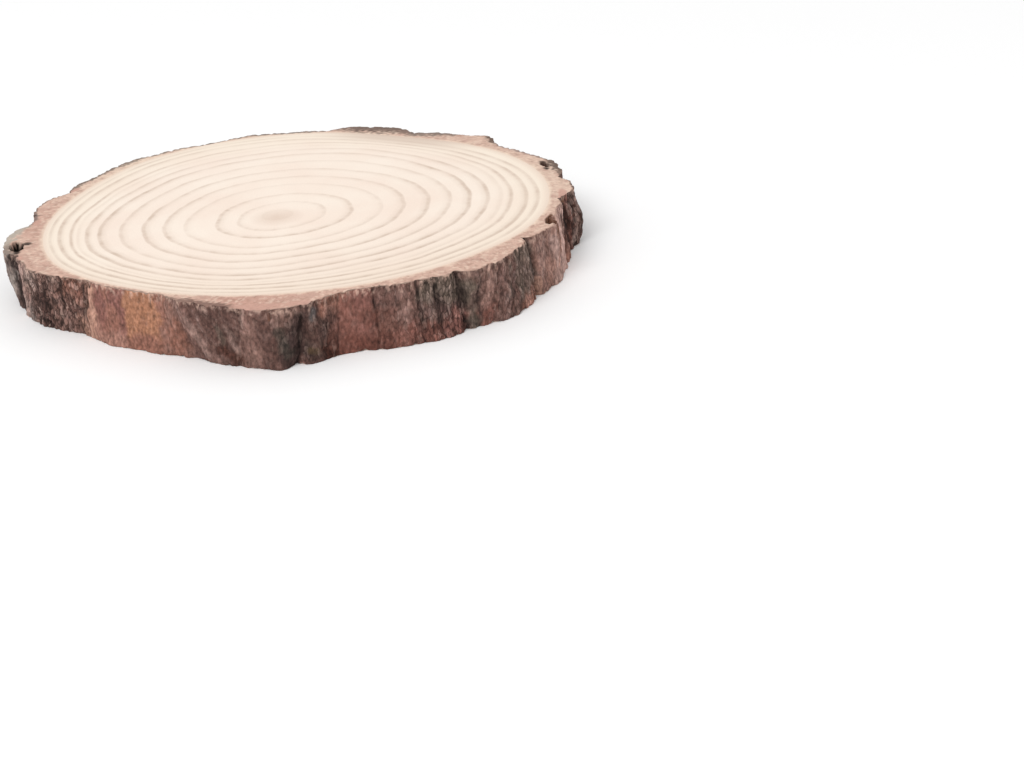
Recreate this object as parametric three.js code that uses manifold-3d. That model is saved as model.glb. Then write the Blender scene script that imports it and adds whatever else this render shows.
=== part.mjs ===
// Wood slice: a disc sawn across a young trunk, with its furrowed bark left on.
// Millimetres, +Z up. It lies on its lower sawn face, with the origin under the middle of its outline.
// A bearing is in degrees, counter-clockwise from +X seen from above, so 270 is the front.

import * as THREE from "three";
import { mergeVertices } from "three/addons/utils/BufferGeometryUtils.js";
import Module from "manifold-3d";

// Driving dimensions
const THICKNESS = 15;
const CLEARANCE = 0.3;
const THINNEST_BARK = 1.2;
const BARK_STEPS = 480;
const BARK_LEVELS = [0, 3, 7, 11, 13.5, THICKNESS];
const WOOD_STEPS = 180;
const FULL_TURN = 360;

const WOOD_FINISH = { color: 0xf3e2c9, roughness: 0.75, metalness: 0 };
const BARK_FINISH = { color: 0x6e4e48, roughness: 0.92, metalness: 0 };

// Edge of the wood: bearing, radius
const WOOD_EDGE = [
  [0, 66.4], [14, 66.6], [32, 65.9], [46, 64.9], [58, 64.4], [70, 65.9], [84, 68.2], [98, 69.2],
  [112, 69.2], [126, 67.8], [140, 65.2], [155, 63.6], [172, 63.5], [190, 63.8], [204, 64.0],
  [216, 63.0], [228, 62.0], [240, 61.5], [255, 61.5], [270, 61.5], [286, 62.3], [300, 63.0],
  [313, 63.6], [328, 65.2], [345, 66.1],
];

// Outside of the bark: bearing, radius at the upper sawn face, radius at the lower one
const BARK_EDGE = [
  // right, behind the square lobe
  [1.6, 72.9, 73.0], [4.5, 71.3, 72.0], [10, 73.1, 72.4], [16, 73.8, 73.0], [20, 72.2, 72.2],
  [27, 71.2, 71.6], [36, 71.0, 71.2], [40.5, 75.0, 73.6], [46, 72.4, 72.4], [53, 71.4, 71.8],
  // back, from the broken step to the thin rim
  [58.5, 69.4, 70.8], [61.5, 72.3, 71.8], [69, 73.0, 72.6], [75, 73.6, 73.0], [78.5, 71.2, 72.0],
  [84, 70.5, 71.2], [98, 72.2, 71.8], [107, 71.0, 71.6], [118, 72.0, 72.2], [131, 72.0, 71.6],
  [137, 70.4, 71.0], [146, 69.6, 70.4], [152, 68.8, 70.2], [156.5, 70.8, 70.6], [166, 69.8, 70.6],
  [171, 68.4, 69.8], [173.8, 69.0, 69.6],
  // left, round the lobe, in at its crack and down to the bare stretch
  [176, 71.8, 70.6], [178.5, 72.9, 71.2], [184, 73.7, 71.8], [188.6, 73.9, 71.6], [190.4, 73.4, 71.3],
  [192.2, 71.6, 70.9], [196, 71.5, 71.0], [201, 71.5, 70.6], [204, 70.9, 69.3], [208, 69.0, 67.2],
  [212, 66.6, 65.4], [217, 64.7, 64.6], [224, 63.6, 64.8], [232, 63.5, 64.2], [239, 63.1, 64.2],
  // front, the thick plate and the sunk one beside it
  [242, 65.4, 64.3], [247, 67.0, 65.2], [252, 67.8, 67.6], [256, 69.0, 68.8], [260, 71.6, 70.8],
  [265, 71.8, 72.2], [269, 70.9, 70.6], [272.5, 68.2, 69.3], [277, 66.2, 66.9], [280, 65.0, 66.6],
  [285, 65.6, 67.9], [290, 66.9, 69.6], [297, 68.9, 71.0], [302, 69.4, 71.2],
  // front right, up to the square lobe
  [305, 71.6, 71.0], [310, 71.9, 72.8], [316, 71.0, 73.1], [322, 69.8, 72.0], [327, 69.8, 71.8],
  [335, 71.2, 72.2], [339, 69.8, 71.8], [347, 69.4, 71.2], [351.3, 69.6, 71.2], [354.6, 72.6, 73.1],
  [358.5, 73.3, 73.5],
];

// Furrows between the bark's plates: bearing at mid height, how far the upper end leans round in
// degrees, depth and half width in millimetres, and the heights between which it is open
const FRONT_FURROWS = [
  { bearing: 192.1, lean: -1, depth: 0.9, half: 1.3, from: 3, to: 15 },
  { bearing: 201, lean: 1, depth: 0.6, half: 1.3, from: 0, to: 12 },
  { bearing: 209.7, lean: 1, depth: 0.8, half: 1.4, from: 2, to: 15 },
  { bearing: 217.5, lean: 0, depth: 0.5, half: 1.5, from: 0, to: 15 },
  { bearing: 244.4, lean: -4, depth: 0.8, half: 1.7, from: 1, to: 15 },
  { bearing: 249, lean: -6, depth: 0.4, half: 1.5, from: 0, to: 12 },
  { bearing: 257.8, lean: 2, depth: 0.7, half: 1.4, from: 0, to: 15 },
  { bearing: 268.8, lean: 2, depth: 1.9, half: 2.0, from: 0, to: 11.5 },
  { bearing: 276.8, lean: 1, depth: 0.4, half: 1.4, from: 2, to: 15 },
  { bearing: 284.8, lean: 1, depth: 0.7, half: 1.3, from: 3, to: 15 },
  { bearing: 293.5, lean: 0, depth: 0.7, half: 1.3, from: 3, to: 15 },
  { bearing: 297.2, lean: -1, depth: 0.9, half: 1.3, from: 2, to: 13 },
  { bearing: 302.6, lean: -1, depth: 1.4, half: 1.4, from: 0, to: 15 },
  { bearing: 305.6, lean: 0, depth: 1.2, half: 1.3, from: 0, to: 9 },
  { bearing: 309, lean: 1, depth: 0.4, half: 1.4, from: 0, to: 15 },
  { bearing: 324.4, lean: 0, depth: 1.5, half: 1.4, from: 0, to: 15 },
  { bearing: 330, lean: 0, depth: 0.5, half: 1.4, from: 0, to: 13 },
  { bearing: 343.5, lean: 1, depth: 0.7, half: 1.5, from: 0, to: 11 },
  { bearing: 357, lean: 0, depth: 0.9, half: 1.3, from: 0, to: 12 },
];
const FURROW_END = 2.5;

// Furrows out of sight at the back, spaced and sized at random from one seed, that end below the rim
const BACK_SEED = 41;
const BACK_FROM = 5;
const BACK_TO = 176;
const BACK_TOP = 10;
const BACK_SPACING = [7, 14];
const BACK_DEPTH = [0.5, 1.5];
const BACK_HALF = [1.3, 1.9];
const BACK_LEAN = [-2, 2];

// Bellies of the two lobes: where they stand out most, half sizes in degrees and millimetres, and how far
const BELLIES = [
  { bearing: 357, height: 5.5, round: 5.5, tall: 6.5, out: 1.8 },
  { bearing: 185.5, height: 8.5, round: 7, tall: 6.5, out: 0.7 },
];

// Low ripple over the plates: waves round the trunk, turns over the height, height of the wave
const RIPPLES = [[23, 0.4, 0.2], [37, -0.7, 0.16], [52, 0.9, 0.13], [71, -0.5, 0.1]];

// Pits in the upper sawn face of the bark: bearing, radius, and half sizes across, round and down
const PITS = [
  { bearing: 186.9, radius: 70.5, across: 1.7, round: 4.2, down: 4.5 },
  { bearing: 336.6, radius: 69.5, across: 1.3, round: 3.6, down: 4 },
  { bearing: 14.5, radius: 70.4, across: 1, round: 2.8, down: 2.5 },
];
const PIT_SIDES = 10;
const PIT_RINGS = 6;

const SAME_POINT = 1e-4;
const RANDOM_FACTOR = 16807;
const RANDOM_RANGE = 2147483647;

const wasm = await Module();
wasm.setup();

// Smooth closed curve through rows of a bearing and its values, read at any bearing
function aroundTrunk(rows) {
  const size = rows[0].length - 1;
  const turns = [-FULL_TURN, 0, FULL_TURN];
  const wrapped = turns.flatMap((turn) => rows.map(([bearing, ...values]) => [bearing + turn, ...values]));
  const bearings = wrapped.map((row) => row[0]);
  const values = wrapped.flatMap((row) => row.slice(1));
  const curve = new THREE.CubicInterpolant(bearings, values, size, new Float64Array(size));
  return (bearing) => [...curve.evaluate(THREE.MathUtils.euclideanModulo(bearing, FULL_TURN))];
}

// The same random numbers on every run
function seededRandom(seed) {
  let state = seed;
  return ([low, high]) => {
    state = (state * RANDOM_FACTOR) % RANDOM_RANGE;
    return low + ((high - low) * state) / RANDOM_RANGE;
  };
}

function makeBackFurrows() {
  const draw = seededRandom(BACK_SEED);
  const furrows = [];
  for (let bearing = BACK_FROM; bearing < BACK_TO; bearing += draw(BACK_SPACING)) {
    const furrow = { bearing, lean: draw(BACK_LEAN), depth: draw(BACK_DEPTH), half: draw(BACK_HALF) };
    furrows.push({ ...furrow, from: 0, to: BACK_TOP });
  }
  return furrows;
}

const furrows = [...FRONT_FURROWS, ...makeBackFurrows()];
const woodEdge = aroundTrunk(WOOD_EDGE);
const barkEdge = aroundTrunk(BARK_EDGE);

const woodRadius = (bearing) => woodEdge(bearing)[0];
const barkInnerRadius = (bearing) => woodRadius(bearing) + CLEARANCE;

// Degrees from one bearing round to another, the short way
function turnBetween(from, to) {
  return THREE.MathUtils.euclideanModulo(to - from + FULL_TURN / 2, FULL_TURN) - FULL_TURN / 2;
}

// How deep the furrows cut at one place on the outside of the bark
function furrowDepth(bearing, height, radius) {
  let deepest = 0;
  for (const { bearing: middle, lean, depth, half, from, to } of furrows) {
    const turn = turnBetween(middle + lean * (height / THICKNESS - 0.5), bearing);
    const beside = (THREE.MathUtils.degToRad(turn) * radius) / half;
    const lower = from > 0 ? THREE.MathUtils.smoothstep(height, from - FURROW_END, from) : 1;
    const upper = to < THICKNESS ? 1 - THREE.MathUtils.smoothstep(height, to, to + FURROW_END) : 1;
    const across = Math.max(0, 1 - beside * beside);
    deepest = Math.max(deepest, depth * across * lower * upper);
  }
  return deepest;
}

// How far the lobes swell at one place
function bellyHeight(bearing, height) {
  const swell = (share) => Math.max(0, 1 - share * share);
  let total = 0;
  for (const { bearing: middle, height: level, round, tall, out } of BELLIES) {
    total += out * swell(turnBetween(middle, bearing) / round) * swell((height - level) / tall);
  }
  return total;
}

function ripple(bearing, height) {
  const angle = THREE.MathUtils.degToRad(bearing);
  const wave = ([waves, twist, size]) => size * Math.sin(waves * angle + twist * height);
  return RIPPLES.reduce((sum, row) => sum + wave(row), 0);
}

function barkOuterRadius(bearing, height) {
  const [upper, lower] = barkEdge(bearing);
  const plate = THREE.MathUtils.lerp(lower, upper, height / THICKNESS) + bellyHeight(bearing, height);
  const radius = plate + ripple(bearing, height) - furrowDepth(bearing, height, plate);
  return Math.max(radius, barkInnerRadius(bearing) + THINNEST_BARK);
}

function placeOnTrunk(bearing, radius, height) {
  const angle = THREE.MathUtils.degToRad(bearing);
  return new THREE.Vector3(radius * Math.cos(angle), radius * Math.sin(angle), height);
}

function positionsOnly(geometry) {
  geometry.deleteAttribute("normal");
  geometry.deleteAttribute("uv");
  return mergeVertices(geometry, SAME_POINT);
}

function toSolid(geometry) {
  const merged = positionsOnly(geometry);
  const vertProperties = new Float32Array(merged.attributes.position.array);
  const triVerts = new Uint32Array(merged.index.array);
  return new wasm.Manifold(new wasm.Mesh({ numProp: 3, vertProperties, triVerts }));
}

function toGeometry(solid) {
  const { vertProperties, triVerts } = solid.getMesh();
  const geometry = new THREE.BufferGeometry();
  geometry.setAttribute("position", new THREE.BufferAttribute(vertProperties, 3));
  geometry.setIndex(new THREE.BufferAttribute(triVerts, 1));
  geometry.computeVertexNormals();
  return geometry;
}

// The wood: its outline drawn through the edge and raised to the thickness of the slice
function makeWood() {
  const points = [];
  for (let step = 0; step < WOOD_STEPS; step += 1) {
    const bearing = (step * FULL_TURN) / WOOD_STEPS;
    const { x, y } = placeOnTrunk(bearing, woodRadius(bearing), 0);
    points.push(new THREE.Vector2(x, y));
  }
  const outline = new THREE.Shape(points);
  return new THREE.ExtrudeGeometry(outline, { depth: THICKNESS, steps: 1, bevelEnabled: false });
}

// The bark: a turned ring whose inside follows the wood and whose outside follows plates and furrows
function makeBarkRing() {
  const INSIDE = 1;
  const OUTSIDE = 2;
  const outside = BARK_LEVELS.map((height) => new THREE.Vector2(OUTSIDE, height));
  const foot = new THREE.Vector2(INSIDE, 0);
  const profile = [foot, ...outside, new THREE.Vector2(INSIDE, THICKNESS), foot];
  const ring = new THREE.LatheGeometry(profile, BARK_STEPS);
  const position = ring.attributes.position;
  for (let index = 0; index < position.count; index += 1) {
    const step = Math.floor(index / profile.length) % BARK_STEPS;
    const { x: side, y: height } = profile[index % profile.length];
    const bearing = (step * FULL_TURN) / BARK_STEPS;
    const radius = side === OUTSIDE ? barkOuterRadius(bearing, height) : barkInnerRadius(bearing);
    const { x, y, z } = placeOnTrunk(bearing, radius, height);
    position.setXYZ(index, x, y, z);
  }
  return ring;
}

function makePit({ bearing, radius, across, round, down }) {
  const pit = new THREE.SphereGeometry(1, PIT_SIDES, PIT_RINGS);
  const { x, y, z } = placeOnTrunk(bearing, radius, THICKNESS);
  pit.scale(across, round, down);
  pit.rotateZ(THREE.MathUtils.degToRad(bearing));
  pit.translate(x, y, z);
  return pit;
}

function makeBark() {
  const ring = toSolid(makeBarkRing());
  const pitted = PITS.reduce((solid, pit) => solid.subtract(toSolid(makePit(pit))), ring);
  return toGeometry(pitted);
}

function makePiece(name, geometry, finish) {
  const piece = new THREE.Mesh(geometry, new THREE.MeshStandardMaterial(finish));
  piece.name = name;
  return piece;
}

const slice = new THREE.Group();
slice.name = "wood_slice";
slice.add(makePiece("wood", makeWood(), WOOD_FINISH));
slice.add(makePiece("bark", makeBark(), BARK_FINISH));

// The origin goes under the middle of the outline
const reach = new THREE.Box3().setFromObject(slice);
const middle = reach.getCenter(new THREE.Vector3());
slice.position.set(-middle.x, -middle.y, -reach.min.z);

export default slice;
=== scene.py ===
"""The looks of a wood slice: ringed wood in a rim of furrowed bark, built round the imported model.

Blender's own lengths are metres. The slice is drawn in millimetres and scaled when its meshes are made.
A bearing is in degrees round the trunk, counter-clockwise from +X seen from above, so 270 is the front.
"""

import math
from collections import namedtuple

import bpy
import numpy as np
from mathutils import Matrix, Vector
from mathutils.bvhtree import BVHTree


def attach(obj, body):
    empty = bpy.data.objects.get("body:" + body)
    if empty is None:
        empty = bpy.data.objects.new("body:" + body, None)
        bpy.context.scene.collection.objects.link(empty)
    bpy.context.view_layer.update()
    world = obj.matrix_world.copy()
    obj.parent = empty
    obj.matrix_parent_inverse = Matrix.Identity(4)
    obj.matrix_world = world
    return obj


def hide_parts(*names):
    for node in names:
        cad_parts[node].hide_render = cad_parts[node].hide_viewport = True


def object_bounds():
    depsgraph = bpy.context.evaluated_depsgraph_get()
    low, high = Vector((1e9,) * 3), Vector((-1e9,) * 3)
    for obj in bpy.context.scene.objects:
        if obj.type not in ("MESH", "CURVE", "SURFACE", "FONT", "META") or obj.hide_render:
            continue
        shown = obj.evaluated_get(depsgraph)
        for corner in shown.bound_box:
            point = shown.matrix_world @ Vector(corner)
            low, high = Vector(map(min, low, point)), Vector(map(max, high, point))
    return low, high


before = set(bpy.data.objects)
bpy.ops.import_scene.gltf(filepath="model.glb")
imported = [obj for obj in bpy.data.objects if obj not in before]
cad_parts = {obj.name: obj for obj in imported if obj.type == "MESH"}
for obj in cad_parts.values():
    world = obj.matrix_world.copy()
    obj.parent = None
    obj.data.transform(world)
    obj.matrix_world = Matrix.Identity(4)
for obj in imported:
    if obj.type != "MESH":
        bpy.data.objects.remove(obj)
cad_box = [list(corner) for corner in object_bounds()]

# Sizes, in millimetres
MM = 0.001
BOX_LOW, BOX_HIGH = (np.array(corner) / MM for corner in cad_box)
THICKNESS = BOX_HIGH[2] - BOX_LOW[2]
TRUNK = np.array([-0.694, 0.0])
MEAN_WIDTH = 142.0
GIRTH = math.pi * MEAN_WIDTH
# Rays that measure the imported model: where they start, how far inside its faces, and degrees off its edges
RAY_START = 95.0
RAY_INSET = 0.04
RAY_TURN = 0.03
# How far the wood reaches into the joint, and the least width of bark
GROWN_JOINT = 0.15
THINNEST_BARK = 0.6

# Camera of the photograph: its frame and focal length in pixels, the pixel that shows the middle of the upper
# face, the distance to it in millimetres, and how far the camera looks down and leans
IMAGE_SIZE = (1024, 775)
FOCAL_PIXELS = 2200
SENSOR_WIDTH = 36.0
SLICE_PIXEL = (295.5, 209.1)
SLICE_DISTANCE = 573.0
LOOK_DOWN = math.radians(18.2)
LEAN_LEFT = math.radians(6.0)

# Mesh grid: steps round the trunk, and rows on each face
BARK_STEPS = 1440
SIDE_ROWS = 36
CUT_ROWS = 20
FOOT_ROWS = 8
WOOD_STEPS = 480
# Smoothing, in steps round and rows up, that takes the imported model's facets away
WOOD_SMOOTHING = 6
BARK_SMOOTHING = 1.5
BARK_SMOOTHING_UP = 3
SHARP_EDGE = math.radians(60)

# Flat maps: strips, their margin, the room of each sawn face and of the joint with the wood across a strip,
# and the share of the wood's map for its wall
UV_STRIPS = 4
UV_MARGIN = 0.02
UV_TOP_ROOM = 8.0
UV_FOOT_ROOM = 6.0
UV_JOINT_ROOM = 1.0
UV_WALL_ROOM = 0.08

# Growth rings: share of the way from the pith to the bark where a year ends, and how dark its line is
RINGS = (
    (0.06, 0.2), (0.178, 0.4), (0.275, 0.7), (0.385, 0.4), (0.47, 0.65), (0.56, 0.75), (0.637, 0.55),
    (0.711, 0.9), (0.775, 0.8), (0.826, 0.25), (0.862, 0.85), (0.926, 0.85), (0.966, 0.65),
)
PITH = np.array([-5.236, -3.2])
HEART = PITH + [0.2, -1.8]
# How far the rings stray from the shape of the wood's edge, by bearing from the pith: the first years, the
# next, the outer ones with their bulges at the back and at the left, and the last. Each has a reach, by
# share of the way out.
CORE_DRIFT = (
    (0, 0.002), (30, -0.005), (60, -0.02), (90, -0.05), (120, -0.055), (150, -0.035), (180, -0.03),
    (195, -0.01), (210, 0.01), (240, 0.033), (255, 0.035), (270, 0.025), (300, 0.013), (330, 0.008),
)
CORE_REACH = ((0.0, 0.0), (0.06, 0.2), (0.178, 0.95), (0.275, 1.0), (0.385, 0.25), (0.47, 0.0))
INNER_DRIFT = (
    (0, 0.0), (30, -0.006), (60, -0.01), (90, -0.04), (120, -0.042), (150, -0.02), (180, 0.01), (195, 0.024),
    (210, 0.03), (240, 0.054), (255, 0.048), (270, 0.022), (285, 0.002), (300, -0.002), (330, 0.0),
)
INNER_REACH = ((0.275, 0.0), (0.385, 0.85), (0.47, 1.0), (0.57, 1.0), (0.64, 0.4), (0.71, 0.0))
OUTER_DRIFT = (
    (0, 0.0), (30, -0.004), (45, 0.016), (60, 0.048), (75, 0.018), (90, -0.006), (120, -0.01), (150, 0.016),
    (165, 0.03), (180, 0.048), (195, 0.052), (210, 0.042), (240, 0.06), (255, 0.062), (270, 0.034),
    (285, 0.004), (300, -0.002), (330, 0.0),
)
OUTER_REACH = ((0.56, 0.0), (0.64, 0.6), (0.71, 1.0), (0.775, 0.87), (0.86, 0.45), (0.926, 0.0))
LAST_DRIFT = (
    (0, -0.006), (12, -0.016), (28, -0.024), (45, -0.022), (75, -0.01), (120, 0.004), (240, 0.006),
    (275, 0.0), (300, -0.006), (330, -0.004),
)
LAST_REACH = ((0.862, 0.0), (0.926, 1.0), (0.966, 1.0), (1.0, 0.0))
DRIFTS = (
    (CORE_DRIFT, CORE_REACH), (INNER_DRIFT, INNER_REACH),
    (OUTER_DRIFT, OUTER_REACH), (LAST_DRIFT, LAST_REACH),
)
# How strong the lines are, by bearing from the pith
RING_FADE = (
    (0, 1.0), (35, 0.8), (60, 0.5), (100, 0.5), (125, 0.85), (150, 1.0), (220, 1.0), (250, 0.95), (275, 1.0),
    (295, 1.05), (330, 1.05),
)
# A ring's line across: millimetres from the end of the year, the same as a share of the year's width where
# that is less, and strength
RING_LINE = (
    (-2.3, -0.5, 0.0), (-0.95, -0.29, 0.33), (-0.35, -0.13, 0.9), (0.15, 0.06, 0.85), (0.6, 0.25, 0.0),
)
# How far a ring waves in and out, in millimetres
RING_WAVE = 0.3
# Stain on the wood beside the bark at the back: its bearing and half length, in degrees
STAIN_BEARING = 59
STAIN_HALF = 18

# Colours of the wood, as hex: early wood and its clouds, the last years, the side towards the front, the
# heart, the stain, and the late wood of the lines
EARLY_WOOD = "f8eadc"
CLOUD_WOOD = "f3dfd0"
OUTER_WOOD = "f4e6d3"
FRONT_WOOD = "eedac9"
HEART_WOOD = "dfc9b8"
STAIN = "c0a595"
LATE_WOOD = "d0baa8"

# Colours of the bark, as hex
CLAY = "a2745a"
BUFF = "b98f7c"
ROSE_TAN = "9c7567"
ROSE = "8f6556"
PLUM = "815950"
RUSSET = "775046"
MAUVE = "84665c"
BLUSH = "b8978c"
PALE_MAUVE = "a5887e"
UMBER = "6e524a"
COCOA = "5f463f"
MAROON = "4f3027"
SMOKE = "68534c"
FAWN = "776359"
BRICK = "6c453b"
LICHEN = "62564c"
ASH = "857770"
PALE_ASH = "ae958a"
GREY = "9a9189"
DUSK = "56423d"
DARK_GREY_BROWN = "433431"
# The near-black below is painted shade for cracks, crevices and splits, and the colour of dark seams.
CREVICE_SHADE = "241b19"
CUT = "d4b1a0"
CUT_DARK = "bc988a"
CUT_PALE = "ecd6c2"
CUT_SPECK = "96705f"
SALMON = "c99f90"
RIM = "8f786c"
# The near-black of the holes below is painted shade.
HOLE_SHADE = "17110d"
RUST = "6f4a38"
SLATE = "6d6a69"
OLIVE = "5a4832"
DARK_GREY_GREEN = "3f3d36"
# The dark maroon below is the recess by the right lobe: its own colour with painted shade.
WINE = "3a211a"

# Plates of bark from the left lobe round the front to the right lobe. Each starts at a bearing, along a
# crack of a depth in millimetres whose upper end leans round by some degrees. rough is from 0, smooth, to
# 1, scaly; base, mottle and streak are its colours; low and high are the height up to which, or from which,
# the plate has another colour; slant is how many millimetres its grain moves round for each one down.
Plate = namedtuple(
    "Plate", "start lean crack rough base mottle streak low high slant", defaults=(None, None, 0),
)
FRONT_PLATES = [
    Plate(174.5, 1, 0.2, 0.7, SMOKE, ASH, DUSK),
    Plate(181.0, -2, 0.0, 0.6, GREY, ASH, SMOKE, (3.5, SMOKE)),
    # The crevice beside the hole: its near-black is painted shade.
    Plate(190.9, -1, 0.7, 0.8, DARK_GREY_BROWN, CREVICE_SHADE, DUSK),
    Plate(193.0, -1, 0.3, 0.8, PALE_MAUVE, BLUSH, UMBER, (4.5, PALE_ASH), None, 0.2),
    Plate(197.5, 1, 0.25, 0.9, MAUVE, UMBER, LICHEN, (4.5, ASH), (10.5, PALE_ASH), 0.4),
    Plate(200.2, 1, 0.25, 1.0, MAUVE, SMOKE, DUSK, None, (11.0, PALE_ASH), 0.4),
    Plate(203.4, 2, 0.6, 1.0, COCOA, UMBER, DUSK, None, (10.5, MAUVE), 0.3),
    Plate(206.2, 1, 0.3, 1.0, MAUVE, UMBER, UMBER, None, (11.0, SMOKE)),
    Plate(209.6, 1, 0.5, 0.9, MAUVE, UMBER, PLUM, None, (10.5, ROSE)),
    Plate(213.4, 0, 0.15, 0.8, UMBER, ROSE, PLUM, (5.0, BUFF)),
    Plate(216.6, 1, 0.4, 0.35, BUFF, ROSE_TAN, PALE_ASH),
    Plate(219.5, 0, 0.15, 0.12, PLUM, ROSE, PLUM, (3.6, ROSE_TAN)),
    Plate(228.5, 0, 0.0, 0.15, CLAY, CLAY, ROSE, (4.0, ROSE)),
    Plate(237.5, -1, 0.0, 0.35, ROSE, MAUVE, ROSE_TAN),
    Plate(243.6, -4, 0.12, 0.5, UMBER, MAUVE, PALE_MAUVE, slant=0.7),
    Plate(250.5, -6, 0.1, 0.55, COCOA, UMBER, SMOKE, slant=0.7),
    Plate(257.2, 2, 0.25, 0.4, UMBER, MAUVE, COCOA, (5.0, MAUVE), None, 0.2),
    Plate(261.5, 0, 0.0, 0.4, COCOA, UMBER, COCOA),
    Plate(264.8, -1, 0.1, 0.55, DARK_GREY_BROWN, DUSK, DARK_GREY_BROWN, None, (10.5, MAUVE)),
    Plate(268.8, 2, 0.7, 0.55, COCOA, DARK_GREY_BROWN, LICHEN, None, (11.5, DUSK)),
    Plate(273.0, -1, 0.3, 0.7, COCOA, RUSSET, DARK_GREY_BROWN, (4.5, MAROON), (10.5, ROSE)),
    Plate(276.7, 1, 0.25, 0.25, RUSSET, RUSSET, UMBER, (4.0, BRICK)),
    Plate(280.5, 0, 0.0, 0.35, RUSSET, PLUM, UMBER, (4.0, BRICK), (10.5, PLUM)),
    Plate(284.8, 1, 0.5, 0.6, UMBER, MAUVE, COCOA, (5.0, RUSSET)),
    Plate(293.5, 0, 0.5, 0.8, SMOKE, UMBER, DUSK, (5.0, RUSSET), (9.5, LICHEN)),
    Plate(297.2, -1, 0.4, 0.9, DUSK, UMBER, DARK_GREY_BROWN, (5.5, PLUM), (8.5, LICHEN)),
    Plate(303.0, -1, 0.85, 0.5, LICHEN, SMOKE, DUSK, None, (12.0, COCOA)),
    Plate(306.1, 0, 0.35, 0.55, MAUVE, UMBER, COCOA, (5.0, RUSSET)),
    Plate(309.4, 1, 0.15, 0.7, UMBER, SMOKE, LICHEN),
    Plate(316.5, 1, 0.1, 0.75, FAWN, LICHEN, DUSK, (2.8, ROSE)),
    Plate(324.4, 0, 0.9, 0.5, MAUVE, ROSE_TAN, UMBER),
    Plate(331.5, 1, 0.2, 0.45, PALE_MAUVE, ROSE_TAN, BLUSH),
    Plate(337.5, 0, 0.1, 0.35, BLUSH, BLUSH, PALE_MAUVE),
    # Plates of the recess by the right lobe: dark maroon that is the bark's own colour and painted shade.
    Plate(342.8, 0, 0.2, 0.6, MAROON, DARK_GREY_BROWN, UMBER, (4.5, ROSE), (6.5, BLUSH)),
    Plate(345.6, 0, 0.2, 0.7, MAROON, DARK_GREY_BROWN, RUSSET, (4.5, ROSE), (10.5, BLUSH)),
    Plate(349.6, 0, 0.8, 0.8, CREVICE_SHADE, DARK_GREY_BROWN, MAROON),
    Plate(351.3, 0, 0.2, 0.8, RUSSET, MAROON, MAROON),
    Plate(352.8, 0, 0.3, 0.8, PALE_ASH, MAUVE, DARK_GREY_BROWN),
    Plate(353.6, 0, 0.6, 0.9, MAROON, DARK_GREY_BROWN, PALE_ASH),
    Plate(355.0, 0, 0.2, 0.9, PALE_MAUVE, DUSK, PALE_ASH),
    Plate(357.4, 0, 0.6, 0.8, SMOKE, DUSK, ASH),
]
# How far the colours of neighbouring plates reach into each other, in degrees, by bearing
PLATE_STRAY = ((0, 0.8), (20, 2.6), (176, 2.6), (190, 0.8))
# How warm the bark is as red, green and blue, and how light by bearing
BARK_WARMTH = np.array([1.06, 1.03, 1.04])
BARK_LIGHT = (
    (0, 1.15), (60, 1.0), (180, 1.0), (203, 1.05), (206.5, 1.2), (212, 1.22), (216, 1.04), (219, 0.97),
    (237, 0.97), (249, 1.0), (254, 0.92), (258, 1.01), (280, 1.12), (286.5, 0.94), (291.5, 1.28),
    (322, 1.3), (327, 1.14), (332, 1.15), (339, 1.25), (345, 1.22), (350, 1.12),
)
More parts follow.
